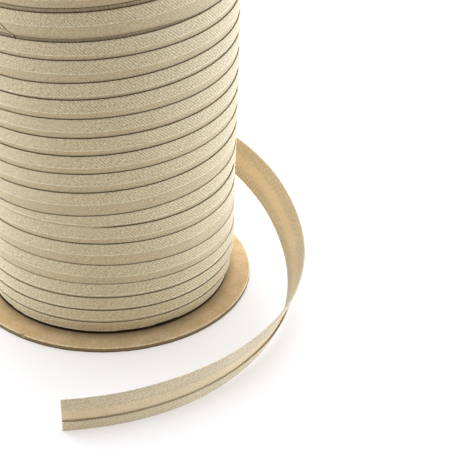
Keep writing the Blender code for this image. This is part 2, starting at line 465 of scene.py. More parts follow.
@dataclass(frozen=True)
class KraftBoard:
    """Uncoated solid kraft board, die cut.

    Its pulp gives the eye a matt brown with fine fibres and faint clouds. Its cut rim is darker
    and rougher, with the plies as thin lines, an upper edge made paler by wear and a painted
    highlight, and a lower edge darkened with painted shade. Round the roll's foot the board gets
    a dark ring of painted shadow, fading out a little way beyond.
    """

    name: str = "kraft_board"
    face: str = "#C9A97E"
    cloud: str = "#B89C6C"
    fibre: str = "#937751"
    rim: str = "#9E8661"
    ply: str = "#695439"
    # The paler upper edge is partly wear and partly a painted highlight.
    worn_edge_and_highlight: str = "#E6D2A5"
    # pressed is the colour of painted shadow: the dark ring under the roll's foot, the soft ring beyond
    # it and the rim's lower edge.
    pressed: str = "#2B1706"
    ply_spacing: float = 0.7 * MM
    clouds_per_metre: float = 110.0
    ply_waves_per_metre: float = 200.0
    fibre_angle: float = math.radians(20.0)
    bump_height: float = 0.12 * MM
    roughness: float = 1.4 * MM
    thickness: float = 3.0 * MM
    board_spacing: float = 217.0 * MM
    face_depth: float = 0.1 * MM
    clouding: Ramp = Ramp(0.36, 0.64)
    flecking: Ramp = Ramp(0.46, 0.72, 0.0, 0.7)
    at_rim: Ramp = Ramp(84.75 * MM, 85.10 * MM)
    # Painted shade on the rim's lowest part, where it meets the surface.
    painted_shade_at_bottom: Ramp = Ramp(0.9 * MM, 2.1 * MM, 0.75, 0.0)
    worn_highlight_at_top: Ramp = Ramp(3.10 * MM, 3.65 * MM)
    # Painted shadow under the roll's foot and a faint painted shadow beyond it.
    ring: Ramp = Ramp(70.8 * MM, 71.6 * MM, 0.92, 0.0)
    painted_shadow_band: Ramp = Ramp(70.8 * MM, 78.3 * MM, 0.30, 0.0)
    fibres_per_metre = (500.0, 1100.0, 1000.0)

    def build(self) -> Material:
        """Make the material, with its pattern on object coordinates.

        Returns:
            The board's material.
        """
        material, tree = new_material(self.name)
        add = partial(add_node, tree)
        place = add("ShaderNodeTexCoord").outputs["Object"]
        x, y, z = add("ShaderNodeSeparateXYZ", (place,)).outputs
        clouds = add("ShaderNodeTexNoise", {
            "Vector": place, "Scale": self.clouds_per_metre, "Detail": 4.0, "Roughness": 0.65})
        laid = add("ShaderNodeMapping", {
            "Vector": place, "Scale": self.fibres_per_metre,
            "Rotation": (0.0, 0.0, self.fibre_angle)}, vector_type="POINT")
        fibres = add("ShaderNodeTexNoise", {
            "Vector": laid, "Scale": 1.0, "Detail": 4.0, "Roughness": 0.75})
        cloudy = add("ShaderNodeMapRange", (clouds, *self.clouding))
        thin = add("ShaderNodeMapRange", (fibres, *self.flecking))
        flecked = lay_colours(tree, self.cloud, ((cloudy, self.face), (thin, self.fibre)))
        flat = add("ShaderNodeCombineXYZ", (x, y))
        radius = add("ShaderNodeVectorMath", (flat,), operation="LENGTH")
        level = add("ShaderNodeMath", (z, self.board_spacing), operation="FLOORED_MODULO")
        rough = add("ShaderNodeMath", (fibres, self.roughness, level), operation="MULTIPLY_ADD")
        plies = add("ShaderNodeTexWave", {
            "Vector": place, "Scale": WAVE_UNIT / self.ply_spacing, "Distortion": 2.5, "Detail": 3.0,
            "Detail Scale": self.ply_waves_per_metre}, wave_type="BANDS", bands_direction="Z")
        # Painted shade darkens the rim's lower edge.
        bottom_painted_shade = add("ShaderNodeMapRange", (rough, *self.painted_shade_at_bottom))
        # The rim's upper edge is paler, partly from wear and partly as a painted highlight.
        rubbed_and_highlight = add("ShaderNodeMapRange", (rough, *self.worn_highlight_at_top))
        rim = lay_colours(tree, self.ply, (
            (plies.outputs["Fac"], self.rim), (bottom_painted_shade, self.pressed), (rubbed_and_highlight, self.worn_edge_and_highlight)))
        cut = add("ShaderNodeMapRange", (radius, *self.at_rim))
        colour = add("ShaderNodeMix", {0: cut, MIX_COLOUR: flecked, MIX_COLOUR + 1: rim},
                     data_type="RGBA")
        # On the face towards the roll, painted shadow round the roll's foot.
        middle = (self.board_spacing + self.thickness) / 2.0
        towards_roll = add("ShaderNodeMath", (
            z, middle, middle - self.thickness + self.face_depth), operation="COMPARE")
        under = add("ShaderNodeMapRange", (radius, *self.ring))
        near = add("ShaderNodeMapRange", (radius, *self.painted_shadow_band), interpolation_type="SMOOTHSTEP")
        painted_shadow_share = add("ShaderNodeMath", (under, near), operation="MAXIMUM")
        painted_shadow_on_face = add("ShaderNodeMath", (painted_shadow_share, towards_roll), operation="MULTIPLY")
        colour = add("ShaderNodeMix", {
            0: painted_shadow_on_face, MIX_COLOUR: colour, MIX_COLOUR + 1: linear(self.pressed)}, data_type="RGBA")
        bump = add("ShaderNodeBump", {"Height": fibres, "Strength": 0.5, "Distance": self.bump_height})
        board = add("ShaderNodeBsdfPrincipled", {
            "Base Color": colour, "Roughness": 0.85, "Specular IOR Level": 0.15, "Normal": bump})
        add("ShaderNodeOutputMaterial", {"Surface": board})
        return material


@dataclass
class Rails:
    """Three lines side by side that a strip of binding follows, read column by column."""

    places: np.ndarray
    outward: np.ndarray
    upward: np.ndarray
    travel: np.ndarray
    across: np.ndarray
    shut: np.ndarray
    gape: np.ndarray

    def build(self, name: str) -> Object:
        """Make a guide of points, three for each column, that carries the strip's values.

        Args:
            name: name of the guide.

        Returns:
            The guide, a mesh of points only.
        """
        mesh = bpy.data.meshes.new(name)
        mesh.vertices.add(len(self.places) * len(Rail))
        mesh.vertices.foreach_set("co", self.places.astype(np.float32).ravel())
        for field in ("outward", "upward"):
            add_values(mesh, field, "FLOAT_VECTOR", np.repeat(getattr(self, field), len(Rail), axis=0))
        add_values(mesh, "travel", "FLOAT", np.repeat(self.travel, len(Rail)))
        for field in ("across", "shut", "gape"):
            add_values(mesh, field, "FLOAT", getattr(self, field))
        mesh.update()
        return new_object(name, mesh)


@dataclass(frozen=True)
class Section:
    """Section of a strip: its open form, and its forms where it is pressed shut and where it gapes."""

    open_form: tuple[SectionPoint, ...]
    shut_form: tuple[SectionPoint, ...]
    gaping_form: tuple[SectionPoint, ...]

    def build(self, name: str) -> Object:
        """Make a guide of points with at, rise and stand as their place.

        Args:
            name: name of the guide.

        Returns:
            The guide, a mesh of points only.
        """
        mesh = bpy.data.meshes.new(name)
        mesh.vertices.add(len(self.open_form))
        forms = (self.open_form, self.shut_form, self.gaping_form)
        places, shut, gaping = ([(p.at, p.rise * MM, p.stand * MM) for p in form] for form in forms)
        across = [p.rise if p.across is None else p.across for p in self.open_form]
        mesh.vertices.foreach_set("co", np.asarray(places, np.float32).ravel())
        add_values(mesh, "shut_place", "FLOAT_VECTOR", np.asarray(shut))
        add_values(mesh, "gaping_place", "FLOAT_VECTOR", np.asarray(gaping))
        # depth and gaping_depth are the shares of painted shade in the open and the gaping forms.
        add_values(mesh, "gaping_depth", "FLOAT", np.asarray([p.depth for p in self.gaping_form]))
        add_values(mesh, "fold", "FLOAT", np.asarray(across) * MM)
        for name, field in (("free", "free"), ("single", "single"), ("raw_edge", "edge"),
                            ("depth", "depth")):
            add_values(mesh, name, "FLOAT", np.asarray([getattr(p, field) for p in self.open_form]))
        mesh.update()
        return new_object(name, mesh)


def strip_tree() -> NodeTree:
    """Build the Geometry Nodes tree that lays a section of binding along three rails.

    A grid has one row of points for each column of the rails. Each point finds its place between
    two rails, then moves up and out by its section's values and by a soft unevenness.

    Returns:
        The tree, with its sizes as named inputs.
    """
    tree = bpy.data.node_groups.new("lay_strip_on_rails", "GeometryNodeTree")
    for name, kind in (("Rails", "Geometry"), ("Section", "Object"), ("Columns", "Int"),
                       ("Section Points", "Int"), ("Unevenness", "Float"), ("Wave Length", "Float"),
                       ("Seed", "Float"), ("Finish", "Material")):
        tree.interface.new_socket(name=name, in_out="INPUT", socket_type="NodeSocket" + kind)
    tree.interface.new_socket(name="Strip", in_out="OUTPUT", socket_type="NodeSocketGeometry")
    add = partial(add_node, tree)
    given = add("NodeGroupInput").outputs
    rails, rows = given["Rails"], given["Section Points"]
    grid = add("GeometryNodeMeshGrid", {"Vertices X": given["Columns"], "Vertices Y": rows})
    section = add("GeometryNodeObjectInfo", {"Object": given["Section"]},
                  transform_space="ORIGINAL").outputs["Geometry"]
    index = add("GeometryNodeInputIndex")
    column = add("FunctionNodeIntegerMath", (index, rows), operation="DIVIDE_FLOOR")
    row = add("FunctionNodeIntegerMath", (index, rows), operation="MODULO")
    first_rail = add("FunctionNodeIntegerMath", (column, len(Rail)), operation="MULTIPLY")

    def read(geometry: NodeSocket, number: Node, name: str = "", kind: str = "FLOAT") -> Node:
        """Read a value at a numbered point.

        Args:
            geometry: the points.
            number: number of the point.
            name: name of the value; without one the position is read.
            kind: FLOAT or FLOAT_VECTOR.

        Returns:
            The node that gives the value.
        """
        if name:
            value = add("GeometryNodeInputNamedAttribute", {"Name": name}, data_type=kind)
        else:
            value = add("GeometryNodeInputPosition")
        return add("GeometryNodeSampleIndex", {
            "Geometry": geometry, "Value": value, "Index": number}, data_type=kind, domain="POINT")

    def between(low: Node, high: Node, share: Node, kind: str = "FLOAT") -> Node:
        """Find a value between two values.

        Args:
            low: the value at a share of 0.
            high: the value at a share of 1.
            share: how far from low to high.
            kind: FLOAT or VECTOR.

        Returns:
            The node that gives the value.
        """
        first = MIX_VECTOR if kind == "VECTOR" else MIX_NUMBER
        return add("ShaderNodeMix", {0: share, first: low, first + 1: high}, data_type=kind,
                   clamp_factor=False)

    open_place = read(section, row, kind="FLOAT_VECTOR")
    shut_place = read(section, row, "shut_place", "FLOAT_VECTOR")
    gaping_place = read(section, row, "gaping_place", "FLOAT_VECTOR")
    open_at = add("ShaderNodeSeparateXYZ", (open_place,))
    at_head = add("ShaderNodeMath", (open_at, HEAD_PART), operation="GREATER_THAN")
    own_rail = add("FunctionNodeIntegerMath", (at_head, int(Rail.HEAD), first_rail),
                   operation="MULTIPLY_ADD")
    shut = read(rails, own_rail, "shut")
    gape = read(rails, own_rail, "gape")
    pressed = between(open_place, shut_place, shut, "VECTOR")
    at, rise, stand = add("ShaderNodeSeparateXYZ", (
        between(pressed, gaping_place, gape, "VECTOR"),)).outputs
    below = add("ShaderNodeMath", (at,), operation="FLOOR")
    lower = add("ShaderNodeMath", (below, 1.0), operation="MINIMUM")
    share = add("ShaderNodeMath", (at, lower), operation="SUBTRACT")
    low_rail = add("FunctionNodeIntegerMath", (lower, first_rail), operation="ADD")
    high_rail = add("FunctionNodeIntegerMath", (low_rail, 1), operation="ADD")
    ground = between(read(rails, low_rail, kind="FLOAT_VECTOR"),
                     read(rails, high_rail, kind="FLOAT_VECTOR"), share, "VECTOR")
    across = between(read(rails, low_rail, "across"), read(rails, high_rail, "across"), share)
    pitch = add("ShaderNodeMath", (1.0, given["Wave Length"]), operation="DIVIDE")
    noise = add("ShaderNodeTexNoise", {
        "Vector": ground, "W": given["Seed"], "Scale": pitch, "Detail": 2.0, "Roughness": 0.45},
        noise_dimensions="4D")
    centred = add("ShaderNodeMath", (noise, 2.0, -1.0), operation="MULTIPLY_ADD")
    free = read(section, row, "free")
    loose = add("ShaderNodeMath", (free, given["Unevenness"]), operation="MULTIPLY")
    out = add("ShaderNodeMath", (centred, loose, stand), operation="MULTIPLY_ADD")
    lifted = add("ShaderNodeVectorMath", {
        0: read(rails, first_rail, "upward", "FLOAT_VECTOR"), "Scale": rise}, operation="SCALE")
    raised = add("ShaderNodeVectorMath", (ground, lifted), operation="ADD")
    pushed = add("ShaderNodeVectorMath", {
        0: read(rails, first_rail, "outward", "FLOAT_VECTOR"), "Scale": out}, operation="SCALE")
    final = add("ShaderNodeVectorMath", (raised, pushed), operation="ADD")
    level = add("ShaderNodeMath", (across, read(section, row, "fold")), operation="ADD")
    cloth_place = add("ShaderNodeCombineXYZ", (read(rails, first_rail, "travel"), level))
    at_points = add("GeometryNodeFieldOnDomain", {"Value": cloth_place}, data_type="FLOAT_VECTOR",
                    domain="POINT")
    # The painted crevice shade fades as a crevice is pressed shut, and passes into the gaping form's
    # painted shade where it gapes.
    ajar = add("ShaderNodeMath", (1.0, shut), operation="SUBTRACT", use_clamp=True)
    painted_crevice_shade = add("ShaderNodeMath", (read(section, row, "depth"), ajar), operation="MULTIPLY")
    strip = add("GeometryNodeStoreNamedAttribute", {
        "Geometry": grid, "Name": "UVMap", "Value": at_points}, data_type="FLOAT2", domain="CORNER")
    for name, value in (("single", read(section, row, "single")),
                        ("raw_edge", read(section, row, "raw_edge")),
                        ("depth", between(painted_crevice_shade, read(section, row, "gaping_depth"), gape))):
        strip = add("GeometryNodeStoreNamedAttribute", {
            "Geometry": strip, "Name": name, "Value": value}, data_type="FLOAT", domain="POINT")
    moved = add("GeometryNodeSetPosition", {"Geometry": strip, "Position": final})
    real = add("GeometryNodeRealizeInstances", (moved,))
    dressed = add("GeometryNodeSetMaterial", {0: real, "Material": given["Finish"]})
    add("NodeGroupOutput", (dressed,))
    return tree


def lay_strip(name: str, tree: NodeTree, rails: Rails, section: Section, finish: Material,
              unevenness: float, wave_length: float, seed: float) -> Object:
    """Lay a section along rails with the strip tree.

    Args:
        name: name of the piece.
        tree: the strip tree.
        rails: the lines that the strip follows.
        section: the strip's section.
        finish: its material.
        unevenness: how far the cloth wanders in or out.
        wave_length: distance over which it wanders.
        seed: seed of the wandering.

    Returns:
        The strip as a plain mesh, still open where its section starts and ends.
    """
    guide = section.build(name + "_section")
    piece = run_tree(name, rails.build(name + "_rails"), tree, {
        "Section": guide, "Columns": len(rails.places), "Section Points": len(section.open_form),
        "Unevenness": unevenness, "Wave Length": wave_length, "Seed": seed, "Finish": finish})
    bpy.data.objects.remove(guide, do_unlink=True)
    return piece


@dataclass
class WoundBinding:
    """The turns of binding round the spool, each standing proud over the foot of the turn above it."""

    tree: NodeTree
    finish: Material
    node: str = "wound_roll"
    columns: int = 180
    first_turn: int = 1
    mean_radius: float = 77.0 * MM
    flap_width: float = 7.6 * MM
    least_strip: float = 1.4 * MM
    least_press: float = 0.06
    slipped_turn: int = 9
    slipped_shuts: float = math.radians(-150.0)
    slipped_opens: float = math.radians(-12.0)
    slipped_ramp: float = math.radians(22.0)
    same_turn: float = 0.01
    gape_opens: float = math.radians(-170.0)
    gape_closes: float = math.radians(15.0)
    gape_ramp: float = math.radians(42.0)
    unevenness: float = 0.11 * MM
    wave_length: float = 11.0 * MM
    seed: float = 3.0
    recess_height: float = 1.5 * MM
    recess_lip: float = 0.5 * MM
    recess_depth: float = 2.5 * MM

    # Their spacings are in turns, and the heights and distances that they change are in mm.
    crevice_sways = (Sway(0.36, 0.30, 11), Sway(0.09, 0.13, 12))
    press_sways = (Sway(0.27, 0.10, 13), Sway(0.05, 0.05, 14))
    edge_sways = (Sway(0.13, 0.28, 15), Sway(0.02, 0.09, 16))
    swell_sway = Sway(0.16, 0.10, 17)
    gape_sway = Sway(0.05, 0.12, 18)

    outline = tuple(Level(*row) for row in (
        (0.0, 69.3), (8.0, 72.1), (18.0, 74.3), (32.0, 75.5), (55.0, 75.6),
        (85.0, 76.1), (120.0, 77.3), (160.0, 78.0), (200.0, 78.1), (230.0, 77.6),
    ))

    turns = tuple(Turn(*row) for row in (
        (-21.0, -1.5), (-10.0, -1.5), (1.0, -1.5), (12.1, -1.8, 0.30), (21.4, -1.9, 0.25),
        (30.8, -2.3, 0.25), (39.9, -3.0, 0.45), (52.3, -4.5, 0.50), (66.3, -2.6, 0.30), (77.1, -0.8),
        (84.9, 2.5, 0.35), (100.0, 3.0, 0.10), (111.5, 3.0, 0.25), (122.7, 3.0), (133.8, 3.1),
        (145.3, 3.1, 0.15), (156.5, 4.2), (166.7, 4.3), (179.2, 3.6), (189.7, 3.9, 0.0, 0.75),
        (205.9, 4.2, 0.0, 1.0), (220.0, 4.0), (232.0, 4.0), (244.0, 4.0),
    ))

    # The section's points from the strip's foot to its head, each row in the order of SectionPoint; the
    # seventh value, depth, is the share of painted crevice shade.
    open_form = tuple(SectionPoint(*row) for row in (
        (0, -1.35, -1.20, 0.0, 0.8, 0.0, 1.0), (0, -0.90, -1.18, 0.0, 0.9, 0.0, 1.0),
        (0, -0.55, -1.15, 0.0, 1.0, 0.0, 1.0), (0, -0.25, -1.10, 0.0, 1.0, 0.0, 0.8),
        (0, 0.02, -0.98, 0.3, 1.0, 0.0, 0.45), (0, 0.30, -0.84, 0.5, 1.0, 0.0, 0.12),
        (0, 0.62, -0.72, 0.8, 1.0), (0.45, 0.05, -0.60, 1.0, 1.0), (0.72, 0.0, -0.51, 1.0, 1.0),
        (1.0, -0.26, -0.45, 1.0, 1.0), (1.0, -0.05, -0.42, 1.0, 0.9), (1.0, -0.06, -0.10, 1.0, 0.3),
        (1.0, -0.03, 0.14, 1.0, 0.0, 1.0), (1.0, 0.12, 0.25, 1.0, 0.0, 1.0),
        (1.0, 0.36, 0.15, 1.0, 0.0, 0.4), (1.0, 0.70, 0.04), (1.22, 0.0, 0.0), (1.40, 0.0, 0.06),
        (1.58, 0.0, 0.14), (1.74, 0.0, 0.21), (2, -0.95, 0.30, 0.8), (2, -0.50, 0.29, 0.5),
        (2, -0.22, 0.17, 0.3), (2, -0.08, -0.04, 0.1), (2, -0.10, -0.30, 0.0, 0.0, 0.0, 0.3),
        (2, -0.36, -0.60, 0.0, 0.0, 0.0, 0.8), (2, -0.85, -0.92, 0.0, 0.0, 0.0, 1.0),
        (2, -1.35, -1.20, 0.0, 0.0, 0.0, 1.0),
    ))
    shut_form = tuple(SectionPoint(*row) for row in (
        (0, 0.0, 0.12), (0, 0.08, 0.12), (0, 0.16, 0.12), (0, 0.24, 0.12), (0, 0.32, 0.12),
        (0, 0.45, 0.12), (0, 0.70, 0.11), (0.45, 0.05, 0.07), (0.72, 0.0, 0.04), (1.0, -0.26, 0.02),
        (1.0, -0.08, 0.0), (1.0, -0.05, 0.04), (1.0, -0.02, 0.10), (1.0, 0.12, 0.16),
        (1.0, 0.36, 0.09), (1.0, 0.70, 0.02), (1.22, 0.0, 0.0), (1.40, 0.0, 0.05),
        (1.58, 0.0, 0.11), (1.74, 0.0, 0.15), (2, -0.95, 0.18), (2, -0.70, 0.17), (2, -0.56, 0.16),
        (2, -0.44, 0.15), (2, -0.32, 0.14), (2, -0.20, 0.13), (2, -0.10, 0.12), (2, 0.0, 0.12),
    ))
    # The gaping form's depth values are painted shade in the wide crevice.
    gaping_form = (
        open_form[0],
        SectionPoint(0, -0.40, -1.22, depth=1.0), SectionPoint(0, 0.25, -0.94, depth=0.35),
        SectionPoint(0, 1.10, -0.86, depth=0.30), SectionPoint(0, 1.85, -0.94, depth=0.45),
        SectionPoint(0, 2.15, -1.14, depth=1.0), SectionPoint(0, 2.45, -0.66, depth=0.25),
    ) + open_form[7:]

    def radius(self, height: np.ndarray) -> np.ndarray:
        """Radius of the slightly bulging roll.

        Args:
            height: heights on the roll.

        Returns:
            The radius at each height.
        """
        heights = [level.height * MM for level in self.outline]
        radii = [level.radius * MM for level in self.outline]
        return curve_through(heights, radii, np.clip(height, heights[0], heights[-1]))

    def crevice(self, place: np.ndarray, angle: np.ndarray) -> np.ndarray:
        """Height of the crevices.

        Args:
            place: number of turns up from the first row of the table, the share of a turn included.
            angle: angle round the spool.

        Returns:
            The height of each place, with its chance wandering.
        """
        numbers = range(len(self.turns))
        front = curve_through(numbers, [turn.front for turn in self.turns], place)
        tilt = curve_through(numbers, [turn.tilt for turn in self.turns], place)
        return (front + tilt * np.sin(angle) + wander(place, *self.crevice_sways)) * MM

    def shut(self, place: np.ndarray, angle: np.ndarray) -> np.ndarray:
        """Work out how far each crevice is pressed shut.

        Args:
            place: number of turns up from the first row of the table.
            angle: angle round the spool.

        Returns:
            A value from 0 to 1 for each place.
        """
        number = place - angle / math.tau
        press = np.interp(number, range(len(self.turns)), [turn.press for turn in self.turns])
        chance = press + self.least_press + wander(place, *self.press_sways)
        here = np.abs(number - self.slipped_turn) < self.same_turn
        closing = smooth_step((angle - self.slipped_shuts) / self.slipped_ramp)
        opening = smooth_step((angle - self.slipped_opens) / self.slipped_ramp)
        return np.maximum(np.clip(chance, 0.0, 1.0), np.where(here, closing * (1.0 - opening), 0.0))

    def gape(self, place: np.ndarray, angle: np.ndarray) -> np.ndarray:
        """Work out how far each crevice stands open over a second fold, at the left and in front.

        Args:
            place: number of turns up from the first row of the table.
            angle: angle round the spool.

        Returns:
            A value from 0 up to a little over 1 for each place.
        """
        number = place - angle / math.tau
        full = np.interp(number, range(len(self.turns)), [turn.gape for turn in self.turns])
        opening = smooth_step((angle - self.gape_opens) / self.gape_ramp)
        closing = smooth_step((angle - self.gape_closes) / self.gape_ramp)
        return full * opening * (1.0 - closing) * (1.0 + wander(place, self.gape_sway))

    def rails(self) -> Rails:
        """Work out the foot, flap edge and head of every turn, column by column.

        Returns:
            The rails of the whole winding.
        """
        turns = len(self.turns) - 2 - self.first_turn
        count = np.arange(self.columns * turns + 1)
        turn = self.first_turn + count // self.columns
        angle = -math.pi + math.tau * (count % self.columns) / self.columns
        place = turn + angle / math.tau
        foot = self.crevice(place, angle)
        head = self.crevice(place + 1.0, angle)
        ragged = wander(place, *self.edge_sways) * MM
        edge = np.maximum(head - self.flap_width + ragged, foot + self.least_strip)
        outward = np.stack([np.sin(angle), -np.cos(angle), 0.0 * angle], axis=-1)
        swell = [wander(above, self.swell_sway) for above in (place, place + 1.0)]
        places = []
        for height, extra in zip((foot, edge, head), (swell[0], sum(swell) / 2.0, swell[1])):
            ring = outward * (self.radius(height) + extra * MM)[:, None]
            ring[:, 2] = height
            places.append(ring)
        shut, gape = (
            np.stack([form(place, angle), form(place, angle), form(place + 1.0, angle)], axis=1)
            for form in (self.shut, self.gape))
        return Rails(
            places=np.stack(places, axis=1),
            outward=outward,
            upward=np.tile((0.0, 0.0, 1.0), (len(count), 1)),
            travel=(place - self.first_turn + 1.0) * math.tau * self.mean_radius,
            across=np.stack([foot - edge, 0.0 * edge, head - edge], axis=1),
            shut=shut,
            gape=gape,
        )

    def build(self) -> Object:
        """Wind the strip, weld each turn to the next and cut the ends flat between the boards.

        Returns:
            The wound binding.
        """
        low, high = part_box(self.node)
        section = Section(self.open_form, self.shut_form, self.gaping_form)
        piece = lay_strip("wound_binding", self.tree, self.rails(), section, self.finish,
                          self.unevenness, self.wave_length, self.seed)

        def weld_and_trim(builder: bmesh.types.BMesh) -> None:
            """Weld the turns, cut and close both ends, and draw in the foot of the lowest turn.

            The drawn-in foot gets the crevice's painted shade.
            """
            bmesh.ops.remove_doubles(builder, verts=builder.verts, dist=WELD_DISTANCE)
            ledge = low.z + self.recess_height
            for height in (ledge, ledge + self.recess_lip):
                whole = builder.verts[:] + builder.edges[:] + builder.faces[:]
                bmesh.ops.bisect_plane(builder, geom=whole, plane_co=(0.0, 0.0, height),
                                       plane_no=(0.0, 0.0, 1.0))
            # The drawn-in foot gets the full painted crevice shade.
            depth = builder.verts.layers.float["depth"]
            for vert in builder.verts:
                if vert.co.z < ledge + WELD_DISTANCE:
                    reach = math.hypot(vert.co.x, vert.co.y)
                    vert.co.xy *= 1.0 - self.recess_depth / reach
                    vert[depth] = 1.0
            for height, direction in ((low.z, -1.0), (high.z, 1.0)):
                whole = builder.verts[:] + builder.edges[:] + builder.faces[:]
                bmesh.ops.bisect_plane(builder, geom=whole, plane_co=(0.0, 0.0, height),
                                       plane_no=(0.0, 0.0, direction), clear_outer=True)
                rim = [edge for edge in builder.edges if edge.is_boundary
                       and all(abs(end.co.z - height) < WELD_DISTANCE for end in edge.verts)]
                bmesh.ops.contextual_create(builder, geom=rim)

        finish_mesh(piece, weld_and_trim)
        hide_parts(self.node)
        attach(piece, BODY)
        return piece


@dataclass
class LooseBinding:
    """The free end of the binding, one strip of cloth folded in along both edges.

    The sizes of its section, from top_flap to crease_reach, and its heights are in mm. Its root is
    the stretch that lies pressed against the back of the roll.
    """

    tree: NodeTree
    finish: Material
    node: str = "loose_end"
    columns: int = 340
    width: float = 20.7 * MM
    cut_width: float = 34.2 * MM
    top_flap: float = 7.3
    low_flap: float = 6.2
    cloth: float = 0.44
    back: float = -0.25
    flap_gap: float = 0.14
    fold_round: float = 0.30
    open_lift: float = 0.85
    shut_lift: float = 0.05
    crease_reach: float = 0.5
    # The next three are shares of painted shade in the crevice colour: a dark line along the low flap's
    # raw edge, the side towards the roll, and the folds.
    crease_painted_shadow: float = 0.5
    wrong_side_painted_shade: float = 0.37
    fold_painted_shade: float = 0.3
    unevenness: float = 0.16 * MM
    wave_length: float = 16.0 * MM
    seed: float = 7.0
    shut_share: float = 0.25
    root_shut: float = 0.6
    root_end: float = 0.2
    root_ramp: float = 0.1
    fine_steps: int = 4000

    shut_sway = Sway(0.045, 0.2, 21)
    low_shares = (1.0, 0.8, 0.55, 0.3, 0.12)
    top_shares = (0.15, 0.35, 0.6, 0.85, 1.0)
    fold_bends = (-55.0, 0.0, 55.0)
    heights = (1.1, 3.0, 4.8, 5.8, 6.2, 6.6, 7.3, 9.4, 11.6, 13.8, 16.6)

    route = tuple(Stop(*row) for row in (
        (236.0, 73.5, 62.6, 3.0), (218.0, 75.3, 62.0, 3.0), (200.0, 76.8, 61.0, 3.0),
        (185.0, 77.0, 59.6, 3.5), (170.0, 79.0, 56.2, 5.0), (155.0, 83.2, 51.2, 8.0),
        (140.0, 88.2, 45.4, 12.0), (125.0, 93.0, 38.8, 20.0), (110.0, 96.7, 31.0, 28.0),
        (95.0, 100.9, 23.2, 30.0), (80.0, 106.8, 15.5, 29.0), (55.0, 118.9, 5.4, 20.0),
        (30.0, 132.0, 0.9, 9.0), (10.0, 144.2, 0.0, 0.0), (-10.6, 155.6, 0.0, 0.0),
    ))

    def way(self, angle: np.ndarray) -> tuple[np.ndarray, np.ndarray]:
        """Find the strip's place on its way.

        Args:
            angle: angles round the spool, in degrees.

        Returns:
            The foot's place and the lean at each angle.
        """
        stops = self.route[::-1]
        angles = [stop.angle for stop in stops]
        reach = curve_through(angles, [stop.reach for stop in stops], angle) * MM
        foot = np.maximum(curve_through(angles, [stop.foot for stop in stops], angle), 0.0) * MM
        lean = np.radians(np.maximum(curve_through(angles, [stop.lean for stop in stops], angle), 0.0))
        turned = np.radians(angle)
        return np.stack([reach * np.sin(turned), -reach * np.cos(turned), foot], axis=-1), lean

    def rails(self) -> Rails:
        """Work out the foot, middle and head of the strip, column by column.

        Returns:
            The rails of the loose end.
        """
        fine = np.linspace(self.route[0].angle, self.route[-1].angle, self.fine_steps)
        places, _ = self.way(fine)
        run = np.concatenate([[0.0], np.cumsum(np.linalg.norm(np.diff(places, axis=0), axis=1))])
        travel = np.linspace(0.0, run[-1], self.columns)
        angle = np.interp(travel, run, fine)
        foot, lean = self.way(angle)
        along = np.gradient(foot, axis=0)
        along /= np.linalg.norm(along, axis=1)[:, None]
        outward = np.stack([along[:, 1], -along[:, 0], 0.0 * lean], axis=-1)
        outward /= np.linalg.norm(outward, axis=1)[:, None]
        outward *= np.sign(np.sum(outward * foot, axis=1))[:, None]
        upright = np.cross(outward, along)
        upright *= np.sign(upright[:, 2])[:, None]
        width_way = upright * np.cos(lean)[:, None] + outward * np.sin(lean)[:, None]
        depth_way = outward * np.cos(lean)[:, None] - upright * np.sin(lean)[:, None]
        middle = foot + width_way * self.width / 2.0
        head = foot + width_way * self.width
        root = smooth_step((self.root_end - travel) / self.root_ramp)
        shut = self.shut_share + wander(travel, self.shut_sway) + self.root_shut * root
        shut = np.clip(shut, 0.0, 1.0)
        return Rails(
            places=np.stack([foot, middle, head], axis=1),
            outward=depth_way,
            upward=width_way,
            travel=travel,
            across=np.zeros((self.columns, len(Rail))),
            shut=np.repeat(shut[:, None], len(Rail), axis=1),
            gape=np.zeros((self.columns, len(Rail))),
        )

    def centre_line(self, lift: float) -> list[tuple[float, float]]:
        """Middle of the cloth through one section, from the low flap's raw edge to the top flap's.

        Args:
            lift: how far the low flap's raw edge stands off, in mm.

        Returns:
            Height and depth of each point, in mm.
        """
        gap = self.cloth + self.flap_gap
        bent = self.cloth / 2.0 + self.fold_round
        width = self.width / MM
        bends = [math.radians(bend) for bend in self.fold_bends]
        points = [(self.low_flap * share, gap + lift * share**1.5) for share in self.low_shares]
        points += [(bent - self.fold_round * math.cos(bend), gap / 2.0 * (1.0 - math.sin(bend)))
                   for bend in bends]
        points += [(height, 0.0) for height in (*self.heights, width - self.heights[0])]
        points += [(width - bent + self.fold_round * math.cos(bend), gap / 2.0 * (1.0 + math.sin(bend)))
                   for bend in bends]
        points += [(width - self.top_flap * share, gap) for share in self.top_shares]
        return points

    def form(self, lift: float) -> tuple[SectionPoint, ...]:
        """Closed section of the folded cloth, half its thickness on each side of its middle.

        Args:
            lift: how far the low flap's raw edge stands off, in mm.

        Returns:
            The section's points, the first one again as the last.
        """
        line = np.asarray(self.centre_line(lift))
        way = np.gradient(line, axis=0)
        way /= np.linalg.norm(way, axis=1)[:, None]
        side = np.stack([-way[:, 1], way[:, 0]], axis=1) * self.cloth / 2.0
        steps = np.concatenate([[0.0], np.cumsum(np.linalg.norm(np.diff(line, axis=0), axis=1))])
        width = self.width / MM
        points = []
        for offset, order in ((side, 1), (-side, -1)):
            for (height, depth), across in list(zip(line + offset, steps))[::order]:
                inside = self.low_flap < height < width - self.top_flap
                near_edge = abs(height - self.low_flap) < self.crease_reach
                # Painted shade on the folds, along the low flap's raw edge and on the side towards the
                # roll.
                shade = self.fold_painted_shade if min(height, width - height) < self.cloth else 0.0
                if order == 1 and depth < self.cloth and near_edge:
                    shade = self.crease_painted_shadow
                elif depth < 0.0:
                    shade = self.wrong_side_painted_shade
                points.append(SectionPoint(0.0, float(height), float(depth + self.back),
                                           single=float(inside), depth=shade, across=float(across)))
        return tuple(points + points[:1])

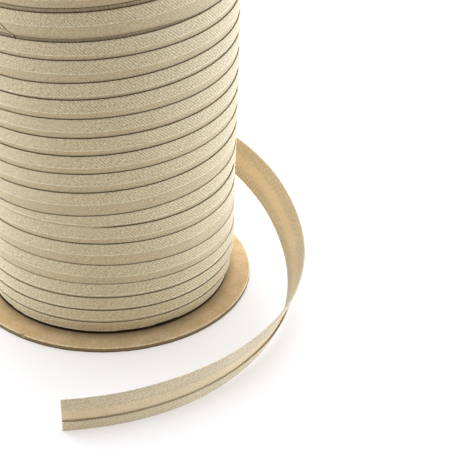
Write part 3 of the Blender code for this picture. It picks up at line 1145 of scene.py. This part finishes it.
    def build(self) -> Object:
        """Lay the folded strip along its way, and close its two ends.

        Returns:
            The loose end.
        """
        rails = self.rails()
        open_form = self.form(self.open_lift)
        section = Section(open_form, self.form(self.shut_lift), open_form)
        piece = lay_strip("loose_binding", self.tree, rails, section, self.finish, self.unevenness,
                          self.wave_length, self.seed)

        def weld_and_close(builder: bmesh.types.BMesh) -> None:
            """Weld the section's seam, then close both ends."""
            bmesh.ops.remove_doubles(builder, verts=builder.verts, dist=WELD_DISTANCE)
            open_edges = [edge for edge in builder.edges if edge.is_boundary]
            bmesh.ops.holes_fill(builder, edges=open_edges)
            caps = [face for face in builder.faces if len(face.verts) > 4]
            bmesh.ops.triangulate(builder, faces=caps)

        finish_mesh(piece, weld_and_close)
        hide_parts(self.node)
        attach(piece, BODY)
        return piece


@dataclass
class Board:
    """A round board at one end of the spool."""

    name: str
    node: str
    finish: Material
    seed: int
    nick_angle: float | None = None
    sides: int = 320
    radius: float = 85.3 * MM
    edge_round: float = 0.45 * MM
    rim_steps: int = 4
    rag: float = 0.13 * MM
    rag_closing: float = 0.1
    nick_depth: float = 1.5 * MM
    nick_width: float = 0.9 * MM
    nick_foot: float = 2.7 * MM
    nick_ramp: float = 1.5 * MM

    face_rings = (0.25, 0.6, 0.85, 0.95, 0.985)
    wall_rings = (0.35, 0.5, 0.65)
    inner_ring_rag = 0.6

    def build(self) -> Object:
        """Turn the disc, with a slightly ragged rounded rim and, on one board, a small nick.

        Returns:
            The board.
        """
        low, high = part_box(self.node)
        profile = self.profile(low.z, high.z)
        angles = np.arange(self.sides) / self.sides * math.tau
        closing = smooth_step((math.tau - angles) / self.rag_closing)
        builder = bmesh.new()
        rings = []
        for number, (reach, height, loose) in enumerate(profile):
            rag = wander(angles, Sway(0.05, 0.6, self.seed), Sway(0.02, 0.5, self.seed + 1),
                         Sway(0.02, 0.5, self.seed + 2 + number))
            rag *= closing * self.rag * loose
            ring = []
            for angle, ragged in zip(angles, rag):
                out = reach + ragged - self.nick(angle, height, high.z) * loose
                ring.append(builder.verts.new((out * math.sin(angle), -out * math.cos(angle), height)))
            rings.append(ring)
        for below, above in zip(rings, rings[1:]):
            for side in range(self.sides):
                after = (side + 1) % self.sides
                builder.faces.new((below[side], below[after], above[after], above[side]))
        for ring in (rings[0], rings[-1]):
            pole = builder.verts.new((0.0, 0.0, ring[0].co.z))
            for side in range(self.sides):
                builder.faces.new((ring[side], ring[(side + 1) % self.sides], pole))
        mesh = bpy.data.meshes.new(self.name)
        builder.to_mesh(mesh)
        builder.free()
        piece = new_object(self.name, mesh)
        finish_mesh(piece, lambda work: None)
        mesh.materials.append(self.finish)
        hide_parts(self.node)
        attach(piece, BODY)
        return piece

    def nick(self, angle: float, height: float, top: float) -> float:
        """Depth of the small nick in the rim.

        Args:
            angle: angle round the board.
            height: height on the rim.
            top: height of the board's top.

        Returns:
            How far the rim is cut in there.
        """
        if self.nick_angle is None:
            return 0.0
        away = (angle - self.nick_angle + math.pi) % math.tau - math.pi
        near = math.exp(-(away * self.radius / self.nick_width) ** 2)
        below_top = np.asarray((height - top + self.nick_foot) / self.nick_ramp)
        return self.nick_depth * near * float(smooth_step(below_top))

    def profile(self, bottom: float, top: float) -> list[tuple[float, float, float]]:
        """Profile from the underside's middle round the rim to the top's middle.

        Args:
            bottom: height of the underside.
            top: height of the top.

        Returns:
            Reach, height and how ragged each ring is.
        """
        inner = self.radius - self.edge_round
        faces = [(share * inner, 0.0) for share in self.face_rings] + [(inner, self.inner_ring_rag)]
        rim = []
        for step in range(1, self.rim_steps + 1):
            bend = math.pi / 2.0 * step / self.rim_steps
            rim.append((inner + self.edge_round * math.sin(bend),
                        self.edge_round * (1.0 - math.cos(bend))))
        lower = [(reach, bottom, loose) for reach, loose in faces]
        lower += [(reach, bottom + lift, 1.0) for reach, lift in rim]
        upper = [(reach, top - (height - bottom), loose) for reach, height, loose in lower[::-1]]
        walls = [(self.radius, bottom + (top - bottom) * share, 1.0) for share in self.wall_rings]
        return lower + walls + upper


class Panel(NamedTuple):
    """A soft panel of the light tent: its direction from the spool in degrees, its light and tint."""

    azimuth: float
    elevation: float
    light: float
    tint: str = "#EDF3FF"


@dataclass(frozen=True)
class Studio:
    """Translucent white surface with light from below, a light tent and the camera."""

    distance: float = 0.8068
    height: float = 0.5261
    pitch: float = math.radians(31.90)
    yaw: float = math.radians(5.42)
    roll: float = math.radians(0.48)
    focal_pixels: float = 1568.1
    surface_reach: float = 4.0
    surface: str = "#989694"
    underlight: str = "#FFF7EC"
    glow: Ramp = Ramp(-0.42, -0.24, 0.0, 0.53)
    sharpness: float = 8.0

    panels = (
        Panel(0.0, 18.0, 0.70, "#FFF3DC"), Panel(90.0, 18.0, 5.8, "#D2E4FF"), Panel(135.0, 18.0, 4.4),
        Panel(180.0, 18.0, 1.4), Panel(225.0, 18.0, 5.4), Panel(270.0, 18.0, 3.6, "#D4E4FF"),
        Panel(180.0, 58.0, 6.4), Panel(240.0, 58.0, 1.3),
    )

    def build(self) -> None:
        """Set up the surface, the lights and the camera."""
        self.lay_surface()
        self.light_world()
        self.set_camera()
        bpy.context.scene.view_settings.view_transform = "Standard"

    def lay_surface(self) -> None:
        """Lay the pale surface that the spool stands on."""
        builder = bmesh.new()
        bmesh.ops.create_grid(builder, x_segments=2, y_segments=2, size=self.surface_reach)
        mesh = bpy.data.meshes.new("surface")
        builder.to_mesh(mesh)
        builder.free()
        surface = new_object("surface", mesh)
        material, tree = new_material("white_surface")
        add = partial(add_node, tree)
        place = add("ShaderNodeTexCoord").outputs["Object"]
        _, towards_back, _ = add("ShaderNodeSeparateXYZ", (place,)).outputs
        glow = add("ShaderNodeMapRange", (towards_back, *self.glow), interpolation_type="SMOOTHSTEP")
        white = add("ShaderNodeBsdfPrincipled", {
            "Base Color": linear(self.surface), "Roughness": 0.6, "Specular IOR Level": 0.2,
            "Emission Color": linear(self.underlight), "Emission Strength": glow})
        add("ShaderNodeOutputMaterial", {"Surface": white})
        mesh.materials.append(material)

    def light_world(self) -> None:
        """Surround the spool with a light tent of soft panels, with a weak one in front."""
        world = bpy.data.worlds.new("light_tent")
        world.use_nodes = True
        world.node_tree.nodes.clear()
        add = partial(add_node, world.node_tree)
        direction = add("ShaderNodeTexCoord").outputs["Generated"]
        total = (0.0, 0.0, 0.0)
        for panel in self.panels:
            turned, lifted = math.radians(panel.azimuth), math.radians(panel.elevation)
            level = math.cos(lifted)
            way = (math.sin(turned) * level, -math.cos(turned) * level, math.sin(lifted))
            along = add("ShaderNodeVectorMath", (direction, way), operation="DOT_PRODUCT")
            facing = add("ShaderNodeMath", (along, 0.0), operation="MAXIMUM")
            soft = add("ShaderNodeMath", (facing, self.sharpness), operation="POWER")
            colour = tuple(part * panel.light for part in linear(panel.tint)[:3])
            total = add("ShaderNodeVectorMath", (soft, colour, total), operation="MULTIPLY_ADD")
        light = add("ShaderNodeBackground", {"Color": total})
        add("ShaderNodeOutputWorld", {"Surface": light})
        bpy.context.scene.world = world

    def set_camera(self) -> None:
        """Set the camera at the photo's angle, with its frame round the lower part of the spool."""
        lens = bpy.data.cameras.new("photo_camera")
        lens.sensor_width = SENSOR_WIDTH
        lens.lens = self.focal_pixels / PHOTO_SIDE * SENSOR_WIDTH
        lens.clip_start = 0.05
        camera = bpy.data.objects.new("photo_camera", lens)
        bpy.context.scene.collection.objects.link(camera)
        level = math.cos(self.pitch)
        ahead = Vector((math.sin(self.yaw) * level, math.cos(self.yaw) * level, -math.sin(self.pitch)))
        right = Vector((math.cos(self.yaw), -math.sin(self.yaw), 0.0))
        up = right.cross(ahead)
        tipped_right = right * math.cos(self.roll) + up * math.sin(self.roll)
        tipped_up = up * math.cos(self.roll) - right * math.sin(self.roll)
        turn = Matrix((tipped_right, tipped_up, -ahead)).transposed().to_4x4()
        camera.matrix_world = Matrix.Translation((0.0, -self.distance, self.height)) @ turn
        bpy.context.scene.camera = camera


def main() -> None:
    """Build the studio and the spool's pieces, and report each piece."""
    logging.basicConfig(level=logging.INFO, format="%(message)s")
    Studio().build()
    tree = strip_tree()
    wound_cloth = BiasCloth("bias_twill_wound", join_at=9.1352).build()
    # The loose end's crevice colour is the colour of its painted shade.
    loose_cloth = BiasCloth("bias_twill_loose", face="#FAEBCD", groove="#DAC59C", single="#FAE3B9",
                            crevice="#664E04", see_through=0.25).build()
    board = KraftBoard().build()
    makers = (
        WoundBinding(tree, wound_cloth),
        LooseBinding(tree, loose_cloth),
        Board("bottom_board", "bottom_flange", board, 31, nick_angle=math.radians(-37.4)),
        Board("top_board", "top_flange", board, 41),
    )
    for maker in makers:
        piece = maker.build()
        LOG.info("%s: %d faces", piece.name, len(piece.data.polygons))


if __name__ == "__main__":
    main()
